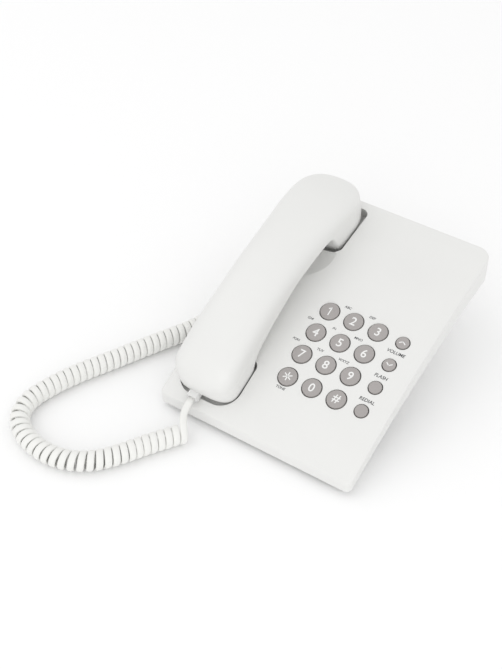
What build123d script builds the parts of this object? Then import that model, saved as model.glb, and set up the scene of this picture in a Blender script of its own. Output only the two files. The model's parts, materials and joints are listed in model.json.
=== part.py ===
from build123d import *
import os
from math import asin, cos, pi, radians, sin, sqrt, tan

os.makedirs("parts", exist_ok=True)

# Corded landline phone: an arched desk base with a 16-key pad on its right half and a handset lying
# in two wells along its left half. Millimetres, +X right, +Y to the rear, +Z up. The origin is the
# middle of the base's footprint, on the surface that the feet stand on.

# ---------------------------------------------------------------- base sizes
base_width = 150.0          # X
base_depth = 194.5          # Y
front_height = 12.0         # top edge of the front lip above the surface
deck_radius = 675.0         # the deck is an arc about X, bulging up
deck_slope = 25.0           # degrees at the front edge
front_lip = 8.3             # height of the rim at the front
rim_radius = 637.0          # lower edge of the rim, an arc about X
rim_slope = 22.5            # degrees at the front edge
wall = 2.2                  # top cover
front_corner = 4.0          # plan radii of the top cover
rear_corner = 11.0
least_corner = 1.0          # of the same outline moved inwards
deck_edge = 1.2             # rounding along the deck's edge

tub_inset = 7.0             # bottom cover's walls inside the rim
tub_drop = 12.0             # bottom cover's depth below the rim
tub_wall = 2.0
flange_up = 1.0             # bottom cover's flange above the rim's lower edge
flange_thickness = 2.0
flange_gap = 0.4            # flange to the rim's inner wall
foot_height = 1.5
foot_r = 5.0
foot_pocket = 0.5           # how far a foot is let into what it is stuck to

# ---------------------------------------------------------------- desk stand under the rear
stand_width = 92.0
stand_front = -40.0         # Y of its front wall
stand_rear = 74.0
stand_wall = 2.4
keyhole_spacing = 83.0      # the two wall screws, one above the other
keyhole_y = 17.0            # middle of the pair
keyhole_r = 2.2             # half the slot's width
keyhole_length = 12.0
keyhole_flat = 0.01         # half of what is flat at a slot's round ends

# ---------------------------------------------------------------- handset, in its own plane (V, W)
handset_x = -46.0           # centre line
handset_front = -96.0       # V runs along the deck's tangent at the middle of the base
handset_rear = 97.5
handset_top = 36.0          # W of the top outline's highest point, above the deck's middle
handset_top_v = 2.0
handset_arc = 300.0         # radius of the top outline
mouth_half = 22.5           # half widths
ear_half = 25.0
grip_half = 20.5
mouth_face = (-89.0, -62.0)  # V range of each cup's flat face
mouth_bottom = -12.0
ear_face = (53.0, 86.0)
ear_bottom = -15.0
grip_under = 13.5           # W of the grip's underside
end_round = 15.0            # plan radius of the ends
end_past = 2.0              # the side profile runs past the plan's ends by this
ear_corner = (12.0, 9.0)    # W of the ear end's lower corner; V from the grip to the ear's face
grip_dip = (2.0, 0.5)       # V of the grip underside's lowest point, and how far it dips there
mouth_corner = (5.0, -1.0)  # V from the mouth's face to the grip's start, and W of both corners
profile_rounds = [5.0, 5.0, 5.0, 9.0, 40.0, 8.0, 5.0, 5.0, 5.0]
top_round = 11.0            # rounding along the top outline
shell_wall = 2.2
parting_drop = 15.0         # the two shells meet this far below the top outline
cup_gap = 1.2               # handset to well, all round
well_floor_gap = 0.5        # cup's face to the well's floor
well_wall = 2.0

scoop_x = -46.0             # finger scoop in the deck, under the grip
scoop_y = 38.0
scoop_radius = 67.5
scoop_depth = 5.0

# ---------------------------------------------------------------- keypad, in its own plane
keypad_x = 28.3
keypad_y = -26.4
key_pitch = 18.85
key_r = 6.9
small_key_r = 4.8
key_gap = 0.4               # key to its hole in the deck
key_proud = 0.9             # key's top above the deck
key_travel = 1.5
key_flange_out = 1.1        # flange beyond the hole
key_flange = 1.2
key_rest_gap = 0.3          # flange to the deck's underside
key_edge = 0.5              # rounding of a key's top
dome_r = 2.6
dome_height = 2.0
dome_gap = 0.3              # what is left around a dome when its key is down
sheet_thickness = 1.0
sheet_margin = 3.0
sheet_side = 1.0
board_thickness = 1.6
board_past = (1.0, 7.0)     # board beyond the dome sheet, along X and up the pad

# ---------------------------------------------------------------- fasteners
screw_r = 1.4
screw_head_r = 2.8
screw_head_height = 1.8
screw_grip = 6.0            # thread length inside a boss
screw_clear = 0.3
pilot_gap = 0.05
boss_r = 3.6
floor_land = 2.2            # what is left of a part under a screw's head

# ---------------------------------------------------------------- sockets, plugs and the cord
jack_body = (12.0, 11.0, 8.8)     # length, width, height of the handset cord's sockets
jack_mouth = (8.0, 6.9)           # width and height of the opening
plug_section = (7.6, 6.5)         # width and height
plug_out = 5.0              # how far a plug stands out of its socket
plug_depth = 9.0            # how far it reaches in
plug_round = 0.5            # rounding along a plug
line_mouth = (9.9, 6.9)
line_body = (14.0, 12.6, 8.8)
cord_d = 4.2
coil_d = 14.0
run_share = 0.45            # of a run that each bend beside it may use

# ---------------------------------------------------------------- worked out from the sizes above
y_front = -base_depth / 2
y_rear = base_depth / 2
overshoot = 6.0
tall = 140.0


def arc_z(y, radius, slope, start_z, offset=0.0):
    """Height at y of an arc about X that leaves the front edge at slope, offset along its radius."""
    centre_y = y_front + radius * sin(radians(slope))
    centre_z = start_z - radius * cos(radians(slope))
    return centre_z + sqrt((radius + offset) ** 2 - (y - centre_y) ** 2)


def deck_z(y, offset=0.0):
    """Height of the deck at y, or of the arc offset from it."""
    return arc_z(y, deck_radius, deck_slope, front_height, offset)


def rim_z(y, raise_by=0.0):
    """Height of the rim's lower edge at y, moved up by raise_by."""
    return arc_z(y, rim_radius, rim_slope, front_height - front_lip) + raise_by


def deck_plane(x, y):
    """A plane that touches the deck at x, y: its X is the row's X and its normal leaves the deck."""
    angle = asin(sin(radians(deck_slope)) - (y - y_front) / deck_radius)
    return Plane(origin=(x, y, deck_z(y)), x_dir=(1, 0, 0), z_dir=(0, -sin(angle), cos(angle)))


def side_of(plane, x=0.0):
    """The plane's side view: local X runs along its V and local Y along its W."""
    return Plane(origin=plane.from_local_coords((x, 0, 0)), x_dir=plane.y_dir, z_dir=plane.x_dir)


def plan_outline(inset):
    """The base's plan moved in by inset, with its own front and rear corner radii."""
    with BuildSketch(mode=Mode.PRIVATE) as plan:
        Rectangle(base_width - 2 * inset, base_depth - 2 * inset)
        fillet(plan.vertices().group_by(Axis.Y)[0], max(front_corner - inset, least_corner))
        fillet(plan.vertices().group_by(Axis.Y)[-1], max(rear_corner - inset, least_corner))
    return plan.sketch


def arched_block(upper, lower, inset):
    """The plan outline moved in by inset, between two heights that are arcs about X."""
    ends = (y_front - overshoot, 0.0, y_rear + overshoot)
    with BuildPart(mode=Mode.PRIVATE) as block:
        with BuildSketch():
            add(plan_outline(inset))
        extrude(amount=tall)
        with BuildSketch(Plane.YZ):
            with BuildLine():
                top = ThreePointArc(*[(y, upper(y)) for y in ends])
                low = ThreePointArc(*[(y, lower(y)) for y in ends])
                Line(top @ 0, low @ 0)
                Line(top @ 1, low @ 1)
            make_face()
        extrude(amount=base_width, both=True, mode=Mode.INTERSECT)
    return block.part


def top_w(v, inset=0.0):
    """W of the handset's top outline at v, or of the outline inset from it."""
    radius = handset_arc - inset
    return handset_top - handset_arc + sqrt(radius ** 2 - (v - handset_top_v) ** 2)


def handset_block(inset):
    """The handset's whole outer form moved in by inset."""
    front = handset_front + inset
    rear = handset_rear - inset
    with BuildPart(mode=Mode.PRIVATE) as block:
        with BuildSketch(side_of(handset_plane)):
            with BuildLine():
                top = ThreePointArc(
                    (front - end_past, top_w(front - end_past, inset)),
                    (handset_top_v, top_w(handset_top_v, inset)),
                    (rear + end_past, top_w(rear + end_past, inset)),
                )
                FilletPolyline(
                    top @ 1,
                    (rear + end_past, ear_corner[0]),
                    (ear_face[1] - inset / 2, ear_bottom + inset),
                    (ear_face[0] + inset, ear_bottom + inset),
                    (ear_face[0] - ear_corner[1] + inset, grip_under + inset),
                    (grip_dip[0], grip_under - grip_dip[1] + inset),
                    (mouth_face[1] + mouth_corner[0], mouth_corner[1] + inset),
                    (mouth_face[1] - inset, mouth_bottom + inset),
                    (mouth_face[0] + inset / 2, mouth_bottom + inset),
                    (front - end_past, mouth_corner[1]),
                    top @ 0,
                    radius=profile_rounds,
                )
            make_face()
        extrude(amount=ear_half + overshoot, both=True)
        with BuildSketch(handset_plane.offset(-tall / 2)):
            with BuildLine():
                FilletPolyline(
                    (0, front),
                    (mouth_half - inset, front),
                    (mouth_half - inset, mouth_face[1]),
                    radius=[end_round - inset],
                )
                ThreePointArc(
                    (mouth_half - inset, mouth_face[1]), (grip_half - inset, 0), (ear_half - inset, ear_face[0])
                )
                FilletPolyline(
                    (ear_half - inset, ear_face[0]),
                    (ear_half - inset, rear),
                    (0, rear),
                    radius=[end_round - inset],
                )
                Line((0, rear), (0, front))
            make_face()
            mirror(about=Plane.YZ)
        extrude(amount=tall, mode=Mode.INTERSECT)
    return block.part


def rounded_handset(inset):
    """The handset's form moved in by inset, with its rounding along the top outline."""
    with BuildPart(mode=Mode.PRIVATE) as form:
        add(handset_block(inset))
        crown = form.faces().filter_by(GeomType.CYLINDER).sort_by(SortBy.AREA)[-1]
        fillet(crown.edges(), top_round - inset)
    return form.part


def rod(plane, spots, radius, height):
    """Round rods that stand on the plane at each spot, towards its normal."""
    with BuildPart(mode=Mode.PRIVATE) as made:
        with BuildSketch(plane):
            with Locations(*spots):
                Circle(radius)
        extrude(amount=height)
    return made.part


def bar(plane, spots, size, height, corner=0.0):
    """Rectangular bars, size along the plane's X and Y, that stand on it at each spot."""
    with BuildPart(mode=Mode.PRIVATE) as made:
        with BuildSketch(plane):
            with Locations(*spots):
                if corner:
                    RectangleRounded(*size, corner)
                else:
                    Rectangle(*size)
        extrude(amount=height)
    return made.part


def screw(plane, spots, radius, head_r, head_height, length):
    """Pan-head screws whose heads end on the plane and whose threads run along its normal."""
    with BuildPart(mode=Mode.PRIVATE) as made:
        add(rod(plane, spots, radius, length))
        add(rod(plane, spots, head_r, -head_height))
    return made.part


def save(part, name):
    """Label a finished piece and write it."""
    part.label = name
    export_step(part, "parts/" + name + ".step")


# ================================================================ where things are in the base
boss_level = -2.5           # cover bosses meet the bottom cover's towers here, from the rim's edge
boss_spots = [(-14.0, -66.0), (60.0, -72.0), (-11.5, 62.0), (58.0, 76.0), (-60.0, 24.0)]
tower_r = 5.0

hook_x = 9.0                # hook plunger, from the handset's centre line
hook_v = 62.0
hook_size = (9.0, 5.0)
hook_travel = 4.0
hook_flange = (13.0, 8.0)
hook_flange_thickness = 1.6
hook_length = 11.0
hook_gap = 0.3
hook_stop_gap = 0.2         # flange to the well's tray with the handset lifted
hook_switch = (8.0, 12.0, 5.0)
wall_hook = (14.0, 2.4, 9.0)      # the handset's hanger when the phone is on a wall
wall_hook_spot = (0.0, 45.0)
wall_hook_gap = 0.25
wall_hook_proud = 1.5

cord_jack_y = 6.0           # handset cord's socket, in the left wall
line_jack_x = 38.0          # line socket, in the rear wall
jack_drop = 5.2             # a socket's centre below the rim's edge
mouth_gap = 0.2             # wall opening round a socket's mouth
switch_x = {"dial_switch": -8.0, "ringer_switch": -38.0}    # slide switches in the rear wall
switch_mouth = (11.0, 4.4)
switch_body = (17.0, 8.0, 7.5)    # width, height, depth
knob_size = (4.0, 3.6)
knob_out = 1.6
knob_in = 3.5
knob_throw = 2.8            # from the middle to either end
knob_rest = {"dial_switch": -knob_throw, "ringer_switch": 0.0}
sounder_spot = (34.0, 46.0)
sounder_r = 12.0
sounder_height = 5.0
sound_hole_r = 1.0
sound_hole_ring = 4.5
weight_size = (92.0, 22.0)
weight_thickness = 3.0
weight_y = -40.0
stand_screw_spots = [(-22.0, 60.0), (22.0, 60.0)]
stand_post_r = 5.0
stand_screw_short = 1.0     # a screw ends this far before its pilot hole does
foot_spots = {"tub": [(-58.0, -80.0), (58.0, -80.0)], "stand": [(-36.0, 64.0), (36.0, 64.0)]}

well_past = {"mouth": (6.6, 7.0), "ear": (6.5, 5.8)}     # a well's ends beyond the cup's flat face
well_ends = {
    "mouth": (mouth_face[0] - well_past["mouth"][0], mouth_face[1] + well_past["mouth"][1]),
    "ear": (ear_face[0] - well_past["ear"][0], ear_face[1] + well_past["ear"][1]),
}
well_halves = {"mouth": mouth_half + cup_gap, "ear": ear_half + cup_gap}
well_floors = {"mouth": mouth_bottom - well_floor_gap, "ear": ear_bottom - well_floor_gap}
outer_end = {"mouth": 0, "ear": -1}
outer_corner = {"mouth": end_round, "ear": 6.0}
inner_corner = 6.0
tray_gap = 0.4              # a well's tray to the bottom cover

handset_plane = deck_plane(handset_x, 0.0)
keypad_plane = deck_plane(keypad_x, keypad_y)
scoop_plane = deck_plane(scoop_x, scoop_y).offset(scoop_radius - scoop_depth)
ear_floor_plane = handset_plane.offset(well_floors["ear"])
hook_spot = (hook_x, hook_v)

wall_x = base_width / 2 - tub_inset
wall_y = base_depth / 2 - tub_inset
jack_slope = asin(sin(radians(rim_slope)) - (cord_jack_y - y_front) / rim_radius)
cord_jack_plane = Plane(
    origin=(-wall_x, cord_jack_y, rim_z(cord_jack_y, -jack_drop)),
    x_dir=(0, -cos(jack_slope), -sin(jack_slope)),
    z_dir=(-1, 0, 0),
)
rear_plane = Plane(origin=(0, wall_y, rim_z(wall_y, -jack_drop)), x_dir=(-1, 0, 0), z_dir=(0, 1, 0))
handset_jack_place = (-3.0, handset_front + 1.0, -2.0)    # its mouth, in the handset's plane
handset_jack_plane = Plane(
    origin=handset_plane.from_local_coords(handset_jack_place),
    x_dir=(1, 0, 0),
    z_dir=-handset_plane.y_dir,
)

key_places = [key_pitch * (i - 1.5) for i in range(4)]
key_names = [
    ["key_star", "key_0", "key_hash", "key_redial"],
    ["key_7", "key_8", "key_9", "key_flash"],
    ["key_4", "key_5", "key_6", "key_volume_down"],
    ["key_1", "key_2", "key_3", "key_volume_up"],
]
keys = [
    (name, (x, v), small_key_r if x == key_places[-1] else key_r)
    for v, names in zip(key_places, key_names)
    for x, name in zip(key_places, names)
]


def deck_sag(v):
    """How far the deck lies below the keypad's plane at v."""
    return deck_radius - sqrt(deck_radius ** 2 - v ** 2)


flange_top = -wall - deck_sag(key_places[-1] + key_r + key_gap + key_flange_out) - key_rest_gap
flange_bottom = flange_top - key_flange
sheet_top = flange_bottom - key_travel - dome_gap
board_top = sheet_top - sheet_thickness
board_bottom = board_top - board_thickness
pad_half_x = key_places[-1] + key_r + sheet_side
pad_half_v = key_places[-1] + key_r + sheet_margin
board_half_x = pad_half_x + board_past[0]
board_half_v = pad_half_v + board_past[1]
board_corner = 3.5          # screw to the board's edges
board_round = 2.0
board_screw_at = (board_half_x - board_corner, board_half_v - board_corner)
board_spots = [(x * board_screw_at[0], v * board_screw_at[1]) for x in (-1, 1) for v in (-1, 1)]
board_post_r = 2.8
board_screw_r = 1.0
board_screw_head_r = 2.0
board_screw_head = 1.2
board_screw_length = 5.0
board_screw_short = 0.5     # a screw ends this far before its pilot hole does


def well(name, grow):
    """The space of one cup's well, or its whole tray when grow is the tray's wall."""
    low, high = well_ends[name]
    with BuildPart(mode=Mode.PRIVATE) as space:
        with BuildSketch(handset_plane.offset(well_floors[name] - grow)) as plan:
            with Locations((0, (low + high) / 2)):
                Rectangle(2 * (well_halves[name] + grow), high - low + 2 * grow)
            ends = plan.vertices().group_by(Axis.Y)
            fillet(ends[outer_end[name]], outer_corner[name] + grow)
            fillet(plan.vertices().group_by(Axis.Y)[-1 - outer_end[name]], inner_corner + grow)
        extrude(amount=tall / 2)
    return space.part


def tub_floor(y):
    """Height of the bottom cover's underside, where it isn't flat."""
    return rim_z(y, -tub_drop)


def posts(spots, radius, upper, lower):
    """Upright round posts at each spot, between two heights that are arcs about X."""
    return rod(Plane.XY, spots, radius, tall) & arched_block(upper, lower, 0.0)


def above(shape, height):
    """The part of a shape that is higher than height."""
    space = bar(Plane.XY.offset(height), [(0, 0)], (2 * base_width, 2 * base_depth), tall)
    return shape & space


# ================================================================ top cover
cover_reach = arched_block(deck_z, lambda y: rim_z(y, -overshoot), wall / 2)
cover_hollow = arched_block(lambda y: deck_z(y, -wall), lambda y: rim_z(y, -overshoot), wall)
cover_hollow -= scoop_plane.location * Sphere(scoop_radius + wall)
hanger_slot = bar(
    handset_plane.offset(grip_under),
    [wall_hook_spot],
    (wall_hook[0] + 2 * wall_hook_gap, wall_hook[1] + 2 * wall_hook_gap),
    -grip_under - wall_hook[2] - wall_hook_gap,
)
hanger_block = bar(
    handset_plane.offset(0),
    [wall_hook_spot],
    (wall_hook[0] + 2 * well_wall, wall_hook[1] + 2 * well_wall),
    -wall_hook[2] - well_wall,
)

with BuildPart() as top_cover:
    add(arched_block(deck_z, rim_z, 0.0))
    deck_face = top_cover.faces().sort_by(SortBy.AREA)[-2:].sort_by(Axis.Z)[-1]
    fillet(deck_face.edges(), deck_edge)
    add(cover_hollow, mode=Mode.SUBTRACT)
    for name in well_ends:
        add(well(name, well_wall) & cover_reach)
    add(posts(boss_spots, boss_r, lambda y: deck_z(y, -wall / 2), lambda y: rim_z(y, boss_level)))
    add(hanger_block & cover_reach)
    with Locations(scoop_plane):
        Sphere(scoop_radius, mode=Mode.SUBTRACT)
    post_height = -board_top - deck_sag(board_half_v) - wall / 2
    add(rod(keypad_plane.offset(board_top), board_spots, board_post_r, post_height))
    for name in well_ends:
        add(well(name, 0.0), mode=Mode.SUBTRACT)
    for name, spot, radius in keys:
        add(rod(keypad_plane.offset(flange_top), [spot], radius + key_gap, tall / 2), mode=Mode.SUBTRACT)
    pilot_length = board_screw_length - board_thickness
    board_pilots = rod(keypad_plane.offset(board_top), board_spots, board_screw_r + pilot_gap, pilot_length)
    add(board_pilots, mode=Mode.SUBTRACT)
    for x, y in boss_spots:
        pilot = Plane.XY.offset(rim_z(y, boss_level) - boss_r)
        add(rod(pilot, [(x, y)], screw_r + pilot_gap, boss_r + screw_grip + 1.0), mode=Mode.SUBTRACT)
    hook_hole = (hook_size[0] + 2 * hook_gap, hook_size[1] + 2 * hook_gap)
    add(bar(ear_floor_plane, [hook_spot], hook_hole, -well_wall), mode=Mode.SUBTRACT)
    add(hanger_slot, mode=Mode.SUBTRACT)
save(top_cover.part, "top_cover")

# ================================================================ bottom cover
tub_outer = above(arched_block(lambda y: rim_z(y, flange_up), tub_floor, tub_inset), foot_height)
tub_inner = above(
    arched_block(lambda y: rim_z(y, overshoot), lambda y: tub_floor(y) + tub_wall, tub_inset + tub_wall),
    foot_height + tub_wall,
)
tub_flange = arched_block(
    lambda y: rim_z(y, flange_up + flange_thickness), lambda y: rim_z(y, flange_up), wall + flange_gap
)
switch_spots = [(-x, 0) for x in switch_x.values()]
ring = PolarLocations(sound_hole_ring, 6)
sounder_holes = [sounder_spot] + [
    (sounder_spot[0] + spot.position.X, sounder_spot[1] + spot.position.Y) for spot in ring
]
foot_level = foot_height + foot_pocket

with BuildPart() as bottom_cover:
    add(tub_outer)
    add(tub_flange)
    add(tub_inner, mode=Mode.SUBTRACT)
    for name in well_ends:
        add(well(name, well_wall + tray_gap), mode=Mode.SUBTRACT)
    add(above(posts(boss_spots, tower_r, lambda y: rim_z(y, boss_level), tub_floor), foot_height))
    post_rise = screw_grip + tub_wall
    stand_posts = posts(stand_screw_spots, stand_post_r, lambda y: tub_floor(y) + post_rise, tub_floor)
    add(above(stand_posts, foot_height))
    for x, y in boss_spots:
        seat = Plane.XY.offset(rim_z(y, boss_level) - boss_r - floor_land)
        add(rod(seat, [(x, y)], screw_head_r + screw_clear, -tall), mode=Mode.SUBTRACT)
        add(rod(seat, [(x, y)], screw_r + screw_clear, tall / 2), mode=Mode.SUBTRACT)
    for x, y in stand_screw_spots:
        pilot = Plane.XY.offset(tub_floor(y) - boss_r)
        add(rod(pilot, [(x, y)], screw_r + pilot_gap, boss_r + screw_grip), mode=Mode.SUBTRACT)
    socket_hole = (jack_mouth[0] + 2 * mouth_gap, jack_mouth[1] + 2 * mouth_gap)
    add(bar(cord_jack_plane, [(0, 0)], socket_hole, -tub_wall), mode=Mode.SUBTRACT)
    line_hole = (line_mouth[0] + 2 * mouth_gap, line_mouth[1] + 2 * mouth_gap)
    add(bar(rear_plane, [(-line_jack_x, 0)], line_hole, -tub_wall), mode=Mode.SUBTRACT)
    add(bar(rear_plane, switch_spots, switch_mouth, -tub_wall), mode=Mode.SUBTRACT)
    hole_top = tub_floor(sounder_spot[1]) + tub_drop / 2
    add(rod(Plane.XY, sounder_holes, sound_hole_r, hole_top), mode=Mode.SUBTRACT)
    add(rod(Plane.XY, foot_spots["tub"], foot_r, foot_level), mode=Mode.SUBTRACT)
save(bottom_cover.part, "bottom_cover")

# ================================================================ stand
stand_middle = (stand_front + stand_rear) / 2
stand_length = stand_rear - stand_front
stand_corner = 6.0
keyhole_spots = [(0, keyhole_y + side * keyhole_spacing / 2) for side in (-1, 1)]
tub_underside = arched_block(lambda y: rim_z(y, tall / 2), tub_floor, -overshoot)
stand_inside = (stand_width - 2 * stand_wall, stand_length - 2 * stand_wall)

with BuildPart() as desk_stand:
    stand_level = Plane.XY.offset(foot_height)
    add(bar(stand_level, [(0, stand_middle)], (stand_width, stand_length), tall / 2, stand_corner))
    hollow_floor = Plane.XY.offset(foot_height + stand_wall)
    hollow = bar(hollow_floor, [(0, stand_middle)], stand_inside, tall / 2, stand_corner - stand_wall)
    add(hollow - rod(Plane.XY, stand_screw_spots, stand_post_r, tall), mode=Mode.SUBTRACT)
    add(tub_underside, mode=Mode.SUBTRACT)
    for x, y in stand_screw_spots:
        seat = Plane.XY.offset(tub_floor(y) - boss_r - floor_land)
        add(rod(seat, [(x, y)], screw_head_r + screw_clear, -tall), mode=Mode.SUBTRACT)
        add(rod(seat, [(x, y)], screw_r + screw_clear, tall / 2), mode=Mode.SUBTRACT)
    keyhole = (2 * keyhole_r, keyhole_length)
    slots = bar(stand_level, keyhole_spots, keyhole, stand_wall, keyhole_r - keyhole_flat)
    add(slots, mode=Mode.SUBTRACT)
    entries = [(x, y - keyhole_length / 2 + keyhole_r) for x, y in keyhole_spots]
    add(rod(stand_level, entries, 2 * keyhole_r, stand_wall), mode=Mode.SUBTRACT)
    add(rod(Plane.XY, foot_spots["stand"], foot_r, foot_level), mode=Mode.SUBTRACT)
save(desk_stand.part, "desk_stand")

with BuildPart() as rubber_feet:
    add(rod(Plane.XY, foot_spots["tub"] + foot_spots["stand"], foot_r, foot_level))
save(rubber_feet.part, "rubber_feet")

with BuildPart() as cover_screws:
    for x, y in boss_spots:
        seat = Plane.XY.offset(rim_z(y, boss_level) - boss_r - floor_land)
        add(screw(seat, [(x, y)], screw_r, screw_head_r, screw_head_height, floor_land + boss_r + screw_grip))
save(cover_screws.part, "cover_screws")

with BuildPart() as stand_screws:
    for x, y in stand_screw_spots:
        seat = Plane.XY.offset(tub_floor(y) - boss_r - floor_land)
        thread = floor_land + boss_r + screw_grip - stand_screw_short
        add(screw(seat, [(x, y)], screw_r, screw_head_r, screw_head_height, thread))
save(stand_screws.part, "stand_screws")

# ================================================================ keypad
pad_size = (2 * pad_half_x, 2 * pad_half_v)
board_size = (2 * board_half_x, 2 * board_half_v)
key_spots = [spot for name, spot, radius in keys]

for name, spot, radius in keys:
    height = -deck_sag(spot[1]) + key_proud - flange_bottom
    with BuildPart() as key:
        add(rod(keypad_plane.offset(flange_bottom), [spot], radius + key_gap + key_flange_out, key_flange))
        add(rod(keypad_plane.offset(flange_bottom), [spot], radius, height))
        crown = key.faces().sort_by(Axis(keypad_plane.origin, keypad_plane.z_dir))[-1]
        fillet(crown.edges(), key_edge)
        pocket = dome_height - key_flange + key_travel + dome_gap
        dome_room = rod(keypad_plane.offset(flange_bottom), [spot], dome_r + dome_gap, key_flange + pocket)
        add(dome_room, mode=Mode.SUBTRACT)
    save(key.part, name)

with BuildPart() as keypad_sheet:
    add(bar(keypad_plane.offset(sheet_top), [(0, 0)], pad_size, -sheet_thickness, sheet_margin))
    add(rod(keypad_plane.offset(sheet_top), key_spots, dome_r, dome_height))
    crowns = keypad_sheet.faces().group_by(Axis(keypad_plane.origin, keypad_plane.z_dir))[-1]
    fillet(crowns.edges(), dome_height / 3)
save(keypad_sheet.part, "keypad_sheet")

with BuildPart() as main_board:
    add(bar(keypad_plane.offset(board_top), [(0, 0)], board_size, -board_thickness, board_round))
    hole_r = board_screw_r + screw_clear
    board_holes = rod(keypad_plane.offset(board_top), board_spots, hole_r, -board_thickness)
    add(board_holes, mode=Mode.SUBTRACT)
save(main_board.part, "main_board")

with BuildPart() as board_screws:
    screw_plane = keypad_plane.offset(board_bottom)
    thread = board_screw_length - board_screw_short
    add(screw(screw_plane, board_spots, board_screw_r, board_screw_head_r, board_screw_head, thread))
save(board_screws.part, "board_screws")

underside = keypad_plane.offset(board_bottom)
component_plane = Plane(origin=underside.origin, x_dir=(1, 0, 0), z_dir=-keypad_plane.z_dir)
chip_size = (19.0, 6.5)
chip_height = 3.4
small_chip_size = (9.5, 6.5)
capacitor_spots = [(-22.0, 24.0), (-10.0, 26.0), (22.0, -20.0)]
capacitor_r = 3.1
capacitor_height = 7.0
crystal_size = (10.0, 3.6)
with BuildPart() as board_components:
    add(bar(component_plane, [(2.0, 6.0)], chip_size, chip_height))
    add(bar(component_plane, [(-16.0, -12.0), (14.0, -8.0)], small_chip_size, chip_height))
    add(rod(component_plane, capacitor_spots, capacitor_r, capacitor_height))
    add(bar(component_plane, [(18.0, 20.0)], crystal_size, chip_height, 1.6))
save(board_components.part, "board_components")

# ================================================================ hook, hanger, sounder, ballast
tray_bottom = ear_floor_plane.offset(-well_wall)
flange_level = -well_wall - hook_travel - hook_stop_gap
with BuildPart() as hook_plunger:
    add(bar(ear_floor_plane, [hook_spot], hook_size, -hook_length))
    add(bar(ear_floor_plane.offset(flange_level), [hook_spot], hook_flange, -hook_flange_thickness))
save(hook_plunger.part, "hook_plunger")

switch_spot = (hook_x - hook_size[0] / 2 - hook_gap - hook_switch[0] / 2 - 1.0, hook_v)
with BuildPart() as hook_switch_body:
    switch_top = flange_level - hook_flange_thickness - hook_gap
    add(bar(ear_floor_plane.offset(switch_top), [switch_spot], hook_switch[:2], -hook_switch[2], 0.5))
save(hook_switch_body.part, "hook_switch")

with BuildPart() as wall_hanger:
    hanger_top = handset_plane.offset(wall_hook_proud - deck_sag(wall_hook_spot[1]))
    add(bar(hanger_top, [wall_hook_spot], wall_hook[:2], -wall_hook[2]))
save(wall_hanger.part, "wall_hanger")

sounder_level = Plane.XY.offset(tub_floor(sounder_spot[1] + sounder_r) + tub_wall)
with BuildPart() as sounder:
    add(rod(sounder_level, [sounder_spot], sounder_r, sounder_height))
    add(rod(sounder_level, [sounder_spot], sounder_r - tub_wall, sounder_height / 2), mode=Mode.SUBTRACT)
save(sounder.part, "ringer_sounder")

weight_slope = asin(sin(radians(rim_slope)) - (weight_y - y_front) / rim_radius)
weight_plane = Plane(
    origin=(0, weight_y, tub_floor(weight_y) + tub_wall),
    x_dir=(1, 0, 0),
    z_dir=(0, -sin(weight_slope), cos(weight_slope)),
)
with BuildPart() as base_weight:
    add(bar(weight_plane, [(0, 0)], weight_size, weight_thickness, 3.0))
save(base_weight.part, "base_weight")


# ================================================================ sockets and slide switches
def socket(plane, spot, body, mouth, lift):
    """A modular socket behind the plane, its mouth towards the plane's normal; body is depth, width, height."""
    with BuildPart(mode=Mode.PRIVATE) as made:
        add(bar(plane, [spot], body[1:], -body[0]))
        add(bar(plane, [spot], mouth, -body[0] + lift), mode=Mode.SUBTRACT)
    return made.part


socket_back = 1.5
with BuildPart() as base_cord_socket:
    add(socket(cord_jack_plane.offset(-tub_wall), (0, 0), jack_body, jack_mouth, socket_back))
save(base_cord_socket.part, "base_cord_socket")

with BuildPart() as line_socket:
    add(socket(rear_plane.offset(-tub_wall), (-line_jack_x, 0), line_body, line_mouth, socket_back))
save(line_socket.part, "line_socket")

knob_clear = 0.4
for name, x in switch_x.items():
    with BuildPart() as body:
        add(bar(rear_plane.offset(-tub_wall), [(-x, 0)], switch_body[:2], -switch_body[2]))
        knob_room = bar(rear_plane.offset(-tub_wall), [(-x, 0)], switch_mouth, -knob_in - knob_clear)
        add(knob_room, mode=Mode.SUBTRACT)
    save(body.part, name)
    with BuildPart() as knob:
        knob_spot = (-x - knob_rest[name], 0)
        add(bar(rear_plane.offset(knob_out), [knob_spot], knob_size, -knob_out - tub_wall - knob_in))
        grip = knob.faces().sort_by(Axis.Y)[-1]
        fillet(grip.edges(), 0.4)
    save(knob.part, name + "_knob")

# ================================================================ handset
outer_form = rounded_handset(0.0)
inner_form = rounded_handset(shell_wall)
with BuildPart(mode=Mode.PRIVATE) as upper_space:
    with BuildSketch(side_of(handset_plane)):
        with BuildLine():
            ends = (handset_front - overshoot, handset_top_v, handset_rear + overshoot)
            seam_arc = ThreePointArc(*[(v, top_w(v, parting_drop)) for v in ends])
            Polyline(seam_arc @ 0, (ends[0], tall / 2), (ends[2], tall / 2), seam_arc @ 1)
        make_face()
    extrude(amount=base_width / 2, both=True)

grip_screw_spots = [(0, -16.0), (0, 34.0)]
microphone_v = -72.5        # the microphone lies behind the cord's socket
grip_seat_w = 18.5          # the lower shell's screw towers end here
grip_seat = handset_plane.offset(grip_seat_w)
jack_wall = 4.5             # the handset's socket starts this far behind its plane
ear_middle = (0, (ear_face[0] + ear_face[1]) / 2)
mouth_middle = (0, microphone_v)
ear_holes = [ear_middle] + [
    (ear_middle[0] + spot.position.X, ear_middle[1] + spot.position.Y) for spot in PolarLocations(5.0, 8)
]
mouth_holes = [(x, mouth_middle[1]) for x in (-3.0, 0.0, 3.0)]
face_hole_r = 0.9

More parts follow.
